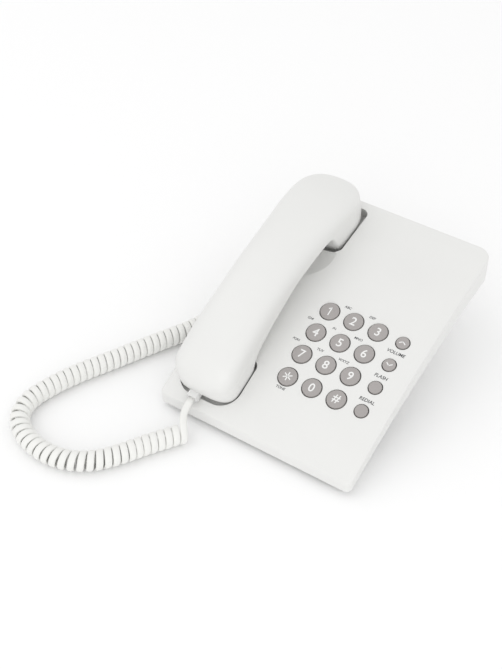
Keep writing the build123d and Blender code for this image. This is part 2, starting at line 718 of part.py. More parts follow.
with BuildPart() as handset_upper:
    add(outer_form)
    add(inner_form - rod(grip_seat, grip_screw_spots, boss_r, tall), mode=Mode.SUBTRACT)
    add(upper_space.part + rod(grip_seat, grip_screw_spots, boss_r, tall / 2), mode=Mode.INTERSECT)
    add(rod(grip_seat, grip_screw_spots, screw_r + pilot_gap, screw_grip + 1.0), mode=Mode.SUBTRACT)
save(handset_upper.part, "handset_upper_shell")

handset_socket_size = (jack_mouth[0] + 2 * mouth_gap, jack_mouth[1] + 2 * mouth_gap)
with BuildPart() as handset_lower:
    add(outer_form)
    add(inner_form, mode=Mode.SUBTRACT)
    add(upper_space.part, mode=Mode.SUBTRACT)
    towers = rod(handset_plane, grip_screw_spots, tower_r, grip_seat_w)
    add(towers & handset_block(shell_wall / 2))
    head_wells = rod(grip_seat.offset(-floor_land), grip_screw_spots, screw_head_r + screw_clear, -tall / 2)
    add(head_wells, mode=Mode.SUBTRACT)
    add(rod(grip_seat, grip_screw_spots, screw_r + screw_clear, -floor_land), mode=Mode.SUBTRACT)
    way_length = -overshoot - jack_wall
    socket_way = bar(handset_jack_plane.offset(overshoot), [(0, 0)], handset_socket_size, way_length)
    add(socket_way, mode=Mode.SUBTRACT)
    add(rod(handset_plane.offset(ear_bottom), ear_holes, face_hole_r, shell_wall), mode=Mode.SUBTRACT)
    add(rod(handset_plane.offset(mouth_bottom), mouth_holes, face_hole_r, shell_wall), mode=Mode.SUBTRACT)
save(handset_lower.part, "handset_lower_shell")

with BuildPart() as handset_screws:
    seat = grip_seat.offset(-floor_land)
    add(screw(seat, grip_screw_spots, screw_r, screw_head_r, screw_head_height, floor_land + screw_grip))
save(handset_screws.part, "handset_screws")

gasket_thickness = 1.2
receiver_r = 13.0
receiver_height = 8.5
microphone_r = 4.85
microphone_height = 5.2
ear_seat = handset_plane.offset(ear_bottom + shell_wall)
mouth_seat = handset_plane.offset(mouth_bottom + shell_wall)
gasket_r = 11.0

with BuildPart() as receiver_gasket:
    add(rod(ear_seat, [ear_middle], gasket_r, gasket_thickness))
    add(rod(ear_seat, [ear_middle], gasket_r - 3.0, gasket_thickness), mode=Mode.SUBTRACT)
save(receiver_gasket.part, "receiver_gasket")

with BuildPart() as receiver:
    add(rod(ear_seat.offset(gasket_thickness), [ear_middle], receiver_r, receiver_height))
    rims = receiver.faces().sort_by(Axis(handset_plane.origin, handset_plane.z_dir))[-1]
    chamfer(rims.edges(), receiver_height / 4)
save(receiver.part, "receiver_capsule")

with BuildPart() as microphone_gasket:
    add(rod(mouth_seat, [mouth_middle], microphone_r + 1.6, gasket_thickness))
    add(rod(mouth_seat, [mouth_middle], microphone_r - 1.0, gasket_thickness), mode=Mode.SUBTRACT)
save(microphone_gasket.part, "microphone_gasket")

with BuildPart() as microphone:
    add(rod(mouth_seat.offset(gasket_thickness), [mouth_middle], microphone_r, microphone_height))
save(microphone.part, "microphone_capsule")

handset_weight_size = (24.0, 36.0)
handset_weight_thickness = 6.0
with BuildPart() as handset_weight:
    between_screws = (0, sum(v for x, v in grip_screw_spots) / 2)
    add(bar(grip_seat, [between_screws], handset_weight_size, handset_weight_thickness, board_round))
save(handset_weight.part, "handset_weight")

with BuildPart() as handset_cord_socket:
    add(socket(handset_jack_plane.offset(-jack_wall), (0, 0), jack_body, jack_mouth, socket_back))
save(handset_cord_socket.part, "handset_cord_socket")


# ================================================================ handset cord
with BuildPart() as handset_plug:
    add(bar(handset_jack_plane.offset(plug_out), [(0, 0)], plug_section, -plug_out - plug_depth))
    ends = handset_plug.edges().filter_by(GeomType.LINE)
    fillet(ends.filter_by(lambda edge: abs(edge.length - plug_out - plug_depth) < 0.01), plug_round)
save(handset_plug.part, "handset_end_plug")

with BuildPart() as base_plug:
    add(bar(cord_jack_plane.offset(plug_out), [(0, 0)], plug_section, -plug_out - plug_depth))
    ends = base_plug.edges().filter_by(GeomType.LINE)
    fillet(ends.filter_by(lambda edge: abs(edge.length - plug_out - plug_depth) < 0.01), plug_round)
save(base_plug.part, "base_end_plug")


def cord_tube(points, diameter, name):
    """A round tube along straight runs joined by tangent arcs as large as the runs allow."""
    route = [Vector(*point) for point in points]
    radii = []
    for before, corner, after in zip(route, route[1:], route[2:]):
        turn = (corner - before).get_angle(after - corner)
        run = min((corner - before).length, (after - corner).length)
        radii.append(run_share * run / tan(radians(turn / 2)))
    with BuildPart() as tube:
        with BuildLine():
            path = FilletPolyline(*route, radius=radii)
        with BuildSketch(Plane(origin=path @ 0, z_dir=path % 0)):
            Circle(diameter / 2)
        sweep()
    print(name, "radii", [round(radius, 1) for radius in radii], "length", round(path.length, 1))
    section = pi * diameter ** 2 / 4
    print(name, "volume over section times length", tube.part.volume / (path.length * section))
    save(tube.part, name)


coil_rise = coil_d / 2      # the coil lies on the surface
straight_out = 7.0          # each lead leaves its plug straight
handset_exit = [tuple(handset_jack_plane.offset(plug_out + out).origin) for out in (0.0, straight_out)]
base_exit = [tuple(cord_jack_plane.offset(plug_out + out).origin) for out in (straight_out, 0.0)]
handset_lead_route = [
    *handset_exit,
    (-47.4, -109.2, 12.0),
    (-43.8, -116.0, 8.6),
]
coil_route = [
    (-42.8, -117.0, coil_rise),
    (-56.4, -136.6, coil_rise),
    (-66.0, -154.2, coil_rise),
    (-79.5, -170.8, coil_rise),
    (-97.8, -179.3, coil_rise),
    (-118.6, -179.0, coil_rise),
    (-136.0, -172.4, coil_rise),
    (-145.9, -160.8, coil_rise),
    (-147.8, -146.4, coil_rise),
    (-143.0, -128.6, coil_rise),
    (-135.0, -108.4, coil_rise),
    (-124.2, -88.0, coil_rise),
    (-114.4, -67.9, coil_rise),
    (-104.6, -48.5, coil_rise),
    (-96.2, -33.0, coil_rise),
    (-91.6, -21.0, coil_rise),
]
base_lead_route = [
    (-91.6, -20.0, coil_rise),
    (-93.5, -12.6, 9.5),
    (-94.0, -5.5, 14.5),
    (-92.5, 0.5, 21.0),
    (-88.0, 4.5, 27.5),
    *base_exit,
]
cord_tube(handset_lead_route, cord_d, "handset_lead")
cord_tube(coil_route, coil_d, "curly_cord")
cord_tube(base_lead_route, cord_d, "base_lead")
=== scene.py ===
# %% [markdown]
# # A corded desk telephone
#
# An arched white base carries sixteen grey keys, and a handset lies in two wells along its left half.
# A curly cord joins the two. The solid model is already packed, so this lesson loads it first, keeps it
# as a fixed frame, and only adds what the eye wants: finishes, lettering, clear plugs and the cord's turns.

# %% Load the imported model
import json
import bpy
import numpy as np
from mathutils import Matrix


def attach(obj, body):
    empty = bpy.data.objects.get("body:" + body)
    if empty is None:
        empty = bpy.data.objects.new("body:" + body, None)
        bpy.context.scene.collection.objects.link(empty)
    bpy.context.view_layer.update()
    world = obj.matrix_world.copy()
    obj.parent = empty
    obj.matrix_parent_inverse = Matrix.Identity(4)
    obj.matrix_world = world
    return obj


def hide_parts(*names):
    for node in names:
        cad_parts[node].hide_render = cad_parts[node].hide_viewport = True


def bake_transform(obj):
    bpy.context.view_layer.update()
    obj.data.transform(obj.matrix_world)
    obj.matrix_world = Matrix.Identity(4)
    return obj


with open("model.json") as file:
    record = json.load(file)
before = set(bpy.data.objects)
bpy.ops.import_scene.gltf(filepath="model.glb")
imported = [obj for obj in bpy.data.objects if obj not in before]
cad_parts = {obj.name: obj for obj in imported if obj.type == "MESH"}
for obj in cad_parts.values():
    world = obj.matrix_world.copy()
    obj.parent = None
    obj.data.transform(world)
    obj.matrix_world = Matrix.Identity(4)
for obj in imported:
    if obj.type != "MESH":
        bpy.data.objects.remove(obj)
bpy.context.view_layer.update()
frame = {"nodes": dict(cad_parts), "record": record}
nodes = frame["nodes"]
mm = 0.001

# %% [markdown]
# ## The camera
#
# The telephone is seen from the front right and well above, as on a catalogue page. A camera could be aimed
# with a constraint, but plain angles are easier to read: it looks down by its elevation, and it is turned about
# the vertical by its azimuth. The sensor is fitted to the picture's height, so the lens follows from one number.

# %% Camera
CAMERA_PLACE = (0.2901, -0.5378, 0.6153)
CAMERA_AZIMUTH = 0.58283
CAMERA_ELEVATION = 0.76810
SENSOR_HEIGHT = 24.0
LENS = 43.498

camera_data = bpy.data.cameras.new("desk_camera")
camera_data.sensor_fit = "VERTICAL"
camera_data.sensor_height = SENSOR_HEIGHT
camera_data.lens = LENS
camera_data.clip_end = 20.0
camera = bpy.data.objects.new("desk_camera", camera_data)
camera.location = CAMERA_PLACE
camera.rotation_euler = (np.pi / 2 - CAMERA_ELEVATION, 0.0, CAMERA_AZIMUTH)
bpy.context.scene.collection.objects.link(camera)
bpy.context.scene.camera = camera
print("camera", CAMERA_PLACE, "lens", LENS)

# %% [markdown]
# ## Helpers for surfaces
#
# Every new piece is a closed skin: rings of points, one after the other, joined by quads and capped at both
# ends. One function turns such an array of rings into a mesh. It measures the volume that the faces enclose,
# and turns them round when that is negative, so faces always point outwards.

# %% Rings to a closed mesh
def enclosed_volume(points, faces):
    """A sixth of the sum, over triangles, of the first corner dotted with the cross of the other two."""
    a, b, c, d = (points[faces[:, k]] for k in range(4))
    first = np.einsum("ij,ij->i", a, np.cross(b, c))
    second = np.einsum("ij,ij->i", a, np.cross(c, d))
    return (first.sum() + second.sum()) / 6


def add_mesh(name, points, faces, smooth=True):
    """A new object with these points and faces, at the origin and unturned."""
    mesh = bpy.data.meshes.new(name)
    mesh.from_pydata(points.tolist(), [], faces)
    mesh.update()
    mesh.polygons.foreach_set("use_smooth", np.full(len(mesh.polygons), smooth))
    piece = bpy.data.objects.new(name, mesh)
    bpy.context.scene.collection.objects.link(piece)
    return piece


def skin(name, rings, smooth=True):
    """Rings of K points each, joined by quads (i, j) (i, j+1) (i+1, j+1) (i+1, j) and capped at both ends."""
    count, around = rings.shape[:2]
    points = rings.reshape(-1, 3)
    i, j = np.meshgrid(np.arange(count - 1), np.arange(around), indexing="ij")
    after = (j + 1) % around
    quads = np.stack([i * around + j, i * around + after, (i + 1) * around + after, (i + 1) * around + j], -1)
    quads = quads.reshape(-1, 4)
    outwards = enclosed_volume(points, quads) > 0
    quads = quads if outwards else quads[:, ::-1]
    first, last = np.arange(around), np.arange(around) + (count - 1) * around
    caps = [first[::-1].tolist(), last.tolist()] if outwards else [first.tolist(), last[::-1].tolist()]
    return add_mesh(name, points, quads.tolist() + caps, smooth)


print("helpers ready: enclosed_volume, add_mesh, skin")

# %% [markdown]
# ## The line that the cord follows
#
# The cord leaves the handset's plug, runs down over the front edge, lies on the table as a coil of touching
# turns, and climbs to a socket in the left wall. Its route is a short list of points. They are the control
# points of a NURBS spline of order three, which is smooth and stays near them, and the spline is read back
# as a line of close points.

# %% The route and its smooth line
COIL_AXIS = mm * np.array([
    (-42.8, -117.0, 7.0), (-56.4, -136.6, 7.0), (-66.0, -154.2, 7.0), (-79.5, -170.8, 7.0),
    (-97.8, -179.3, 7.0), (-118.6, -179.0, 7.0), (-136.0, -172.4, 7.0), (-145.9, -160.8, 7.0),
    (-147.8, -146.4, 7.0), (-143.0, -128.6, 7.0), (-135.0, -108.4, 7.0), (-124.2, -88.0, 7.0),
    (-114.4, -67.9, 7.0), (-104.6, -48.5, 7.0), (-96.2, -33.0, 7.0), (-91.6, -21.0, 7.0),
])
HANDSET_EXIT = mm * np.array((-49.0, -95.485, 18.755))
BASE_EXIT = mm * np.array((-73.0, 6.0, 31.30))


def smooth_line(points, steps):
    """Points along an order-three NURBS spline with these control points, steps of them to each span."""
    curve = bpy.data.curves.new("route", "CURVE")
    curve.dimensions = "3D"
    curve.resolution_u = steps
    spline = curve.splines.new("NURBS")
    spline.points.add(len(points) - 1)
    spline.points.foreach_set("co", np.c_[points, np.ones(len(points))].ravel())
    spline.order_u = 3
    spline.use_endpoint_u = True
    holder = bpy.data.objects.new("route", curve)
    mesh = bpy.data.meshes.new_from_object(holder)
    line = np.empty(3 * len(mesh.vertices))
    mesh.vertices.foreach_get("co", line)
    bpy.data.meshes.remove(mesh)
    bpy.data.objects.remove(holder)
    bpy.data.curves.remove(curve)
    return line.reshape(-1, 3)


def lengths_along(line):
    """Distance from the line's start to each of its points."""
    return np.r_[0.0, np.cumsum(np.linalg.norm(np.diff(line, axis=0), axis=1))]


def directions_along(line):
    """Unit tangents, by central differences."""
    slope = np.gradient(line, axis=0)
    return slope / np.linalg.norm(slope, axis=1, keepdims=True)


axis_line = smooth_line(COIL_AXIS, 12)
axis_length = lengths_along(axis_line)
print("the coil's axis is", round(axis_length[-1] * 1000, 1), "mm long")

# %% [markdown]
# ## Turns that touch
#
# A curly cord is a flat cord wound edge to edge. Where the coil bends, the inner sides of its turns still touch
# and the outer sides fan out, so the pitch grows there with the bend's curvature. The helix is written as more
# points of the cord's own spline: sixteen to a turn, on a circle about the axis.

# %% The helix about the axis
FLAT_WIDTH = 4.9 * mm
FLAT_THICK = 2.6 * mm
COIL_RADIUS = 7.0 * mm - FLAT_THICK / 2
PITCH = 5.25 * mm
PER_TURN = 16
UP = np.array((0.0, 0.0, 1.0))

axis_tangent = directions_along(axis_line)
bend = np.linalg.norm(np.gradient(axis_tangent, axis=0), axis=1) / np.gradient(axis_length)
bend = np.convolve(np.pad(bend, 8, mode="edge"), np.ones(17) / 17, mode="valid")
pitch = np.maximum(PITCH, 0.96 * PITCH / (1 - bend * COIL_RADIUS))
turns = np.r_[0.0, np.cumsum(np.diff(axis_length) * 2 / (pitch[1:] + pitch[:-1]))]
whole_turns = np.floor(turns[-1]) + 0.5
turns *= whole_turns / turns[-1]

at_turn = np.arange(round(whole_turns * PER_TURN) + 1) / PER_TURN
centre = np.stack([np.interp(at_turn, turns, axis_line[:, k]) for k in range(3)], -1)
ahead = np.stack([np.interp(at_turn, turns, axis_tangent[:, k]) for k in range(3)], -1)
side = np.cross(UP, ahead)
side /= np.linalg.norm(side, axis=1, keepdims=True)
angle = 2 * np.pi * at_turn
outwards = np.cos(angle)[:, None] * side - np.sin(angle)[:, None] * UP
helix = centre + COIL_RADIUS / np.cos(np.pi / PER_TURN) * outwards
print("turns", whole_turns, "pitch from", round(pitch.min() * 1000, 2), "to", round(pitch.max() * 1000, 2), "mm")

# %% [markdown]
# ## The flat cord's skin
#
# The leads join the helix at both ends in one list of control points. A second spline, through the same points
# moved towards the cord's flat side, gives the direction that the flat side faces all along. The skin is an
# oval carried along the line: wide across, thin towards that direction. The first turn and a half belong to the
# lead, because they stretch with it when the handset is lifted.

# %% Leads, helix and one long skin
FRONT_LEAD = mm * np.array([(-49.0, -102.208, 16.805), (-46.2, -110.0, 15.0), (-40.6, -117.2, 12.4)])
REAR_LEAD = mm * np.array([
    (-88.6, -18.5, 14.0), (-91.0, -11.0, 16.5), (-91.6, -4.0, 20.5), (-90.0, 2.0, 26.5),
    (-86.0, 5.6, 30.4), (-80.0, 6.0, 31.3),
])
HANDSET_FLAT = np.array((0.0, -0.27854, 0.96042))
OVAL_POWER = 2 / 2.6
AROUND = 14
STEPS = 3
LEAD_TURNS = 1.5

controls = np.vstack([HANDSET_EXIT, FRONT_LEAD, helix, REAR_LEAD, BASE_EXIT])
front = np.linspace(0, 1, len(FRONT_LEAD) + 2)[:-1, None]
rear = np.linspace(0, 1, len(REAR_LEAD) + 2)[1:, None]
facing = np.vstack([
    (1 - front) * HANDSET_FLAT + front * outwards[0], outwards, (1 - rear) * outwards[-1] + rear * UP,
])
facing /= np.linalg.norm(facing, axis=1, keepdims=True)
cord_line = smooth_line(controls, STEPS)
flat_line = smooth_line(controls + mm * facing, STEPS)
cord_length = lengths_along(cord_line)


def oval_rings(line, guide, width, thick):
    """Each ring is the line's point, plus half the width times cos^p across and half the thickness times
    sin^p towards the guide, with the signs kept; across is the tangent crossed with the flat direction."""
    tangent = directions_along(line)
    flat = guide - line
    flat -= np.einsum("ij,ij->i", flat, tangent)[:, None] * tangent
    flat /= np.linalg.norm(flat, axis=1, keepdims=True)
    across = np.cross(tangent, flat)
    t = np.linspace(0, 2 * np.pi, AROUND, endpoint=False)
    wide = width / 2 * np.sign(np.cos(t)) * np.abs(np.cos(t)) ** OVAL_POWER
    high = thick / 2 * np.sign(np.sin(t)) * np.abs(np.sin(t)) ** OVAL_POWER
    return line[:, None] + across[:, None] * wide[None, :, None] + flat[:, None] * high[None, :, None]


cord_rings = oval_rings(cord_line, flat_line, FLAT_WIDTH, FLAT_THICK)
split = round((1 + len(FRONT_LEAD) + LEAD_TURNS * PER_TURN) * STEPS)
print("whole cord", round(cord_length[-1], 3), "m, in", len(cord_line), "rings")

# %% [markdown]
# ## Two pieces of cord
#
# The long piece stays on the table with the base. The short one, the handset's lead, stays where it was made
# and follows neither body. The lengths of both are printed.

# %% The curly cord and the handset's lead
curly_cord = skin("curly_cord_turns", cord_rings[split:])
handset_lead = skin("handset_lead_cord", cord_rings[:split + 1])
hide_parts("curly_cord", "base_lead")
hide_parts("handset_lead")
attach(curly_cord, "base")
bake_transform(handset_lead)
print("lead", round(cord_length[split], 4), "m, coil and rear lead", round(cord_length[-1] - cord_length[split], 3), "m")

# %% [markdown]
# ## One grain for every moulding
#
# A moulded face is never one flat colour. The mould leaves a fine grain, and the resin, the light and years of
# hands leave slow drifts in shade and gloss. All of them are noise read from Object coordinates, so the same
# node group serves every plastic, with its own colour, grain size and strength.

# %% A node group for moulded surfaces
def link(tree, start, end):
    """Joins an output socket to an input socket."""
    tree.links.new(start, end)


def moulded_grain_group():
    """Colour drifts between two shades, roughness drifts about its middle, and height is a fine noise."""
    group = bpy.data.node_groups.new("moulded_grain", "ShaderNodeTree")
    wanted = (
        ("Shade", "NodeSocketColor", "INPUT"), ("Other Shade", "NodeSocketColor", "INPUT"),
        ("Drift Scale", "NodeSocketFloat", "INPUT"), ("Grain Scale", "NodeSocketFloat", "INPUT"),
        ("Roughness Low", "NodeSocketFloat", "INPUT"), ("Roughness High", "NodeSocketFloat", "INPUT"),
        ("Colour", "NodeSocketColor", "OUTPUT"), ("Roughness", "NodeSocketFloat", "OUTPUT"),
        ("Height", "NodeSocketFloat", "OUTPUT"),
    )
    for name, kind, way in wanted:
        group.interface.new_socket(name=name, in_out=way, socket_type=kind)
    add = group.nodes.new
    start, end = add("NodeGroupInput"), add("NodeGroupOutput")
    place = add("ShaderNodeTexCoord")
    slow, fine = add("ShaderNodeTexNoise"), add("ShaderNodeTexNoise")
    slow.inputs["Detail"].default_value = 3.0
    fine.inputs["Detail"].default_value = 2.0
    for noise, scale in ((slow, "Drift Scale"), (fine, "Grain Scale")):
        link(group, place.outputs["Object"], noise.inputs["Vector"])
        link(group, start.outputs[scale], noise.inputs["Scale"])
    shade = add("ShaderNodeMix")
    shade.data_type = "RGBA"
    link(group, slow.outputs["Fac"], shade.inputs["Factor"])
    link(group, start.outputs["Shade"], shade.inputs["A"])
    link(group, start.outputs["Other Shade"], shade.inputs["B"])
    gloss = add("ShaderNodeMapRange")
    link(group, slow.outputs["Fac"], gloss.inputs["Value"])
    link(group, start.outputs["Roughness Low"], gloss.inputs["To Min"])
    link(group, start.outputs["Roughness High"], gloss.inputs["To Max"])
    link(group, shade.outputs["Result"], end.inputs["Colour"])
    link(group, gloss.outputs["Result"], end.inputs["Roughness"])
    link(group, fine.outputs["Fac"], end.inputs["Height"])
    return group


grain_group = moulded_grain_group()
print("group", grain_group.name, "has", len(grain_group.nodes), "nodes")

# %% [markdown]
# ## Finishes
#
# Each finish is one material: the shared grain feeds colour and roughness, and its height goes through a Bump
# node to the normal. Metallic, transmission and coat stay on the shader itself, because they are the same all
# over a piece.

# %% Finishes by slot
def finish(name, shade, other, rough, grain_scale, depth, drift_scale=22.0, **shader_values):
    """A Principled material with the moulded grain; depth is the grain's height in metres."""
    material = bpy.data.materials.new(name)
    material.use_nodes = True
    tree = material.node_tree
    shader = tree.nodes["Principled BSDF"]
    grain = tree.nodes.new("ShaderNodeGroup")
    grain.node_tree = grain_group
    grain.inputs["Shade"].default_value = (*shade, 1.0)
    grain.inputs["Other Shade"].default_value = (*other, 1.0)
    grain.inputs["Drift Scale"].default_value = drift_scale
    grain.inputs["Grain Scale"].default_value = grain_scale
    grain.inputs["Roughness Low"].default_value = rough[0]
    grain.inputs["Roughness High"].default_value = rough[1]
    bump = tree.nodes.new("ShaderNodeBump")
    bump.inputs["Distance"].default_value = depth
    link(tree, grain.outputs["Height"], bump.inputs["Height"])
    link(tree, grain.outputs["Colour"], shader.inputs["Base Color"])
    link(tree, grain.outputs["Roughness"], shader.inputs["Roughness"])
    link(tree, bump.outputs["Normal"], shader.inputs["Normal"])
    for socket, value in shader_values.items():
        shader.inputs[socket.replace("_", " ")].default_value = value
    return material


finishes = {
    "casing": finish("white_casing", (0.80, 0.80, 0.785), (0.76, 0.76, 0.745), (0.30, 0.42), 2600, 0.00002),
    "key_plastic": finish("grey_keys", (0.40, 0.375, 0.365), (0.36, 0.34, 0.33), (0.42, 0.55), 3200, 0.00003),
    # The keypad sheet's dark grey is partly its own colour and partly painted shade, so the gaps round the keys read
    # dark.
    "keypad_rubber": finish("dome_silicone_dark_for_gap_shade", (0.20, 0.20, 0.21), (0.16, 0.16, 0.17), (0.6, 0.75), 2400, 0.00004),
    "circuit_board": finish("solder_mask", (0.02, 0.16, 0.07), (0.03, 0.20, 0.09), (0.25, 0.4), 1500, 0.00002),
    "component_body": finish("black_moulding", (0.03, 0.03, 0.033), (0.05, 0.05, 0.052), (0.4, 0.55), 2600, 0.00003),
    "screw_steel": finish("zinc_plate", (0.56, 0.56, 0.55), (0.46, 0.46, 0.47), (0.25, 0.4), 1800, 0.00002, Metallic=1.0),
    "ballast_steel": finish("plain_steel", (0.42, 0.42, 0.43), (0.34, 0.33, 0.33), (0.35, 0.6), 900, 0.00003, Metallic=1.0),
    "socket_plastic": finish("dark_socket", (0.045, 0.045, 0.048), (0.065, 0.065, 0.068), (0.45, 0.6), 2600, 0.00003),
    "knob_plastic": finish("grey_knobs", (0.12, 0.12, 0.125), (0.09, 0.09, 0.095), (0.4, 0.5), 2600, 0.00003),
    "plug_clear": finish("clear_polycarbonate", (0.94, 0.94, 0.93), (0.90, 0.90, 0.89), (0.06, 0.14), 900, 0.00001,
                         Transmission_Weight=0.25, IOR=1.5),
    "cord_jacket": finish("cord_vinyl", (0.86, 0.86, 0.835), (0.81, 0.81, 0.785), (0.34, 0.48), 1900, 0.00004),
    # Black foam for the gaskets; on the sound-hole discs the same black is painted shade inside the holes.
    "gasket_rubber": finish("foam_rubber_and_painted_hole_shade", (0.03, 0.03, 0.03), (0.05, 0.05, 0.05), (0.8, 0.9), 2000, 0.0001),
    "foot_rubber": finish("foot_rubber", (0.20, 0.20, 0.21), (0.15, 0.15, 0.155), (0.7, 0.85), 1800, 0.00005),
}
gold = finish("gold_plate", (0.83, 0.62, 0.27), (0.78, 0.56, 0.22), (0.2, 0.35), 1500, 0.00001, Metallic=1.0)
white_ink = finish("white_ink", (0.86, 0.86, 0.85), (0.80, 0.80, 0.79), (0.5, 0.6), 4000, 0.00001, drift_scale=400.0)
grey_ink = finish("grey_ink", (0.05, 0.05, 0.055), (0.08, 0.08, 0.085), (0.5, 0.6), 4000, 0.00001, drift_scale=400.0)

for part in frame["record"]["subparts"]:
    slots = nodes[part["node"]].material_slots
    for place in slots:
        place.material = finishes[part["material_slot"]]
for piece in (curly_cord, handset_lead):
    piece.data.materials.append(finishes["cord_jacket"])
print("finishes", len(finishes) + 3)

# %% [markdown]
# ## Digits on the keys
#
# Each digit is printed on its own key and goes down with it. Blender's text is quick to make but flat and
# upright, so it is turned into a mesh first, centred on its own box, and then laid in the keypad's plane.

# %% The keypad's plane
KEYPAD_PLACE = mm * np.array((28.3, -26.4, 40.28))
KEYPAD_UP = np.array((0.0, 0.94820, 0.31766))
KEYPAD_OUT = np.array((0.0, -0.31766, 0.94820))
ACROSS = np.array((1.0, 0.0, 0.0))
DECK_RADIUS = 0.675
KEY_PITCH = 18.85 * mm
KEY_PROUD = 0.9 * mm
DIGIT_HEIGHT = 6.3 * mm
INK = 0.03 * mm


def deck_sag(up):
    """How far the deck's arc lies below the keypad's plane at a distance from its middle: r - sqrt(r^2 - up^2)."""
    return DECK_RADIUS - np.sqrt(DECK_RADIUS ** 2 - up ** 2)


def text_points(text, height, boldness=0.0, lean=0.0):
    """The outline of a text as a thin closed mesh, centred, with capitals of this height; its points and faces."""
    curve = bpy.data.curves.new("text", "FONT")
    curve.body = text
    curve.size = 1.0
    curve.extrude = 0.5
    curve.offset = boldness
    curve.shear = lean
    curve.resolution_u = 5
    holder = bpy.data.objects.new("text", curve)
    mesh = bpy.data.meshes.new_from_object(holder)
    points = np.empty(3 * len(mesh.vertices))
    mesh.vertices.foreach_get("co", points)
    faces = [tuple(face.vertices) for face in mesh.polygons]
    bpy.data.meshes.remove(mesh)
    bpy.data.objects.remove(holder)
    bpy.data.curves.remove(curve)
    points = points.reshape(-1, 3)
    low, high = points.min(0), points.max(0)
    points = points - (low + high) / 2
    points[:, :2] *= height / (high[1] - low[1])
    points[:, 2] *= 2 * INK
    return points, faces


def on_keypad(points, across, up, out):
    """Local points moved to a spot of the keypad's plane: place + x across + y up + z out."""
    local = points + np.array((across, up, out))
    return KEYPAD_PLACE + local[:, :1] * ACROSS + local[:, 1:2] * KEYPAD_UP + local[:, 2:] * KEYPAD_OUT


print("digits will be", DIGIT_HEIGHT * 1000, "mm high")

# %% Digits, star, hash and chevrons
ROWS = (
    (("key_star", "star"), ("key_0", "0"), ("key_hash", "#"), ("key_redial", "")),
    (("key_7", "7"), ("key_8", "8"), ("key_9", "9"), ("key_flash", "")),
    (("key_4", "4"), ("key_5", "5"), ("key_6", "6"), ("key_volume_down", "down")),
    (("key_1", "1"), ("key_2", "2"), ("key_3", "3"), ("key_volume_up", "up")),
)
STROKE = 0.85 * mm


def stroke_points(segments, width):
    """Thin flat bars from point to point: each is a box, half the width to either side of its line."""
    points, faces = [], []
    for a, b in segments:
        a, b = np.array(a), np.array(b)
        along = (b - a) / np.linalg.norm(b - a)
        across = np.array((-along[1], along[0]))
        corners = np.array([a - along * width / 2, b + along * width / 2])
        outline = np.array([
            corners[0] - across * width / 2, corners[1] - across * width / 2,
            corners[1] + across * width / 2, corners[0] + across * width / 2,
        ])
        base = len(points) * 8
        points.append(np.vstack([np.c_[outline, np.full(4, -INK)], np.c_[outline, np.full(4, INK)]]))
        box = ((3, 2, 1, 0), (4, 5, 6, 7), (0, 1, 5, 4), (1, 2, 6, 5), (2, 3, 7, 6), (3, 0, 4, 7))
        faces += [tuple(base + k for k in face) for face in box]
    return np.vstack(points), faces


def mark_points(mark):
    """The star is three bars through one middle; the chevrons are two bars; the rest is text."""
    if mark == "star":
        arms = np.radians((90.0, 30.0, 150.0))
        reach = 2.9 * mm
        return stroke_points([(-reach * np.array((np.cos(t), np.sin(t))), reach * np.array((np.cos(t), np.sin(t))))
                              for t in arms], STROKE)
    if mark == "1":
        return stroke_points([((0.3 * mm, -3.0 * mm), (0.3 * mm, 2.7 * mm)), ((-1.1 * mm, 1.7 * mm), (0.3 * mm, 2.7 * mm))], STROKE)
    if mark in ("up", "down"):
        tip = 0.75 * mm * (1 if mark == "up" else -1)
        wing = 2.0 * mm
        return stroke_points([((-wing, -tip), (0, tip)), ((0, tip), (wing, -tip))], 0.7 * mm)
    return text_points(mark, DIGIT_HEIGHT, boldness=0.012)


for row, names in enumerate(ROWS):
    for column, (key, mark) in enumerate(names):
        if not mark:
            continue
        across, up = (column - 1.5) * KEY_PITCH, (row - 1.5) * KEY_PITCH
        points, faces = mark_points(mark)
        label = "hash" if mark == "#" else mark
        digit = add_mesh("mark_" + label, on_keypad(points, across, up, KEY_PROUD - deck_sag(up) + INK / 2), faces, False)
        digit.data.materials.append(white_ink)
        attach(digit, key)
print("marks made for", sum(bool(mark) for names in ROWS for key, mark in names), "keys")

# %% [markdown]
# ## Keys turned from a profile
#
# A key is round, so it is a profile turned about its own axis: a flat top, a small rounding, a straight skirt,
# and the flange that keeps it under the cover. Each profile point is a radius and a height, and a ring of
# points at that radius is one row of the skin.

# %% Sixteen round keys
KEY_AROUND = 64
FLANGE_TOP = -3.5
FLANGE_BOTTOM = -4.7


def turned_key(name, across, up, reach):
    """Rings at (radius, height) points of the profile: x is radius times cos t, and y is radius times sin t."""
    top = 0.9 - deck_sag(up) / mm
    rounding = np.linspace(0, np.pi / 2, 6)
    profile = [(0.02, top)] + [(reach - 0.4 + 0.4 * np.sin(t), top - 0.4 + 0.4 * np.cos(t)) for t in rounding]
    profile += [(reach, FLANGE_TOP), (reach + 1.6, FLANGE_TOP), (reach + 1.6, FLANGE_BOTTOM), (0.02, FLANGE_BOTTOM)]
    t = np.linspace(0, 2 * np.pi, KEY_AROUND, endpoint=False)
    radius, height = (mm * np.array(column)[:, None] for column in zip(*profile))
    local = np.stack([radius * np.cos(t), radius * np.sin(t), np.broadcast_to(height, (len(profile), KEY_AROUND))], -1)
    rings = on_keypad(local.reshape(-1, 3), across, up, 0.0).reshape(len(profile), KEY_AROUND, 3)
    cap = skin(name + "_cap", rings)
    cap.data.set_sharp_from_angle(angle=np.radians(40))
    cap.data.materials.append(finishes["key_plastic"])
    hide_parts(name)
    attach(cap, name)


for row, names in enumerate(ROWS):
    for column, (key, mark) in enumerate(names):
        turned_key(key, (column - 1.5) * KEY_PITCH, (row - 1.5) * KEY_PITCH, 4.45 if column == 3 else 6.55)
print("keys turned:", sum(len(names) for names in ROWS))

# %% [markdown]
# ## Words on the deck
#
# The deck's small words are printed on the cover itself. The deck is an arc, so their flat points are wrapped
# onto it: the distance up the pad becomes an angle about the arc's centre.

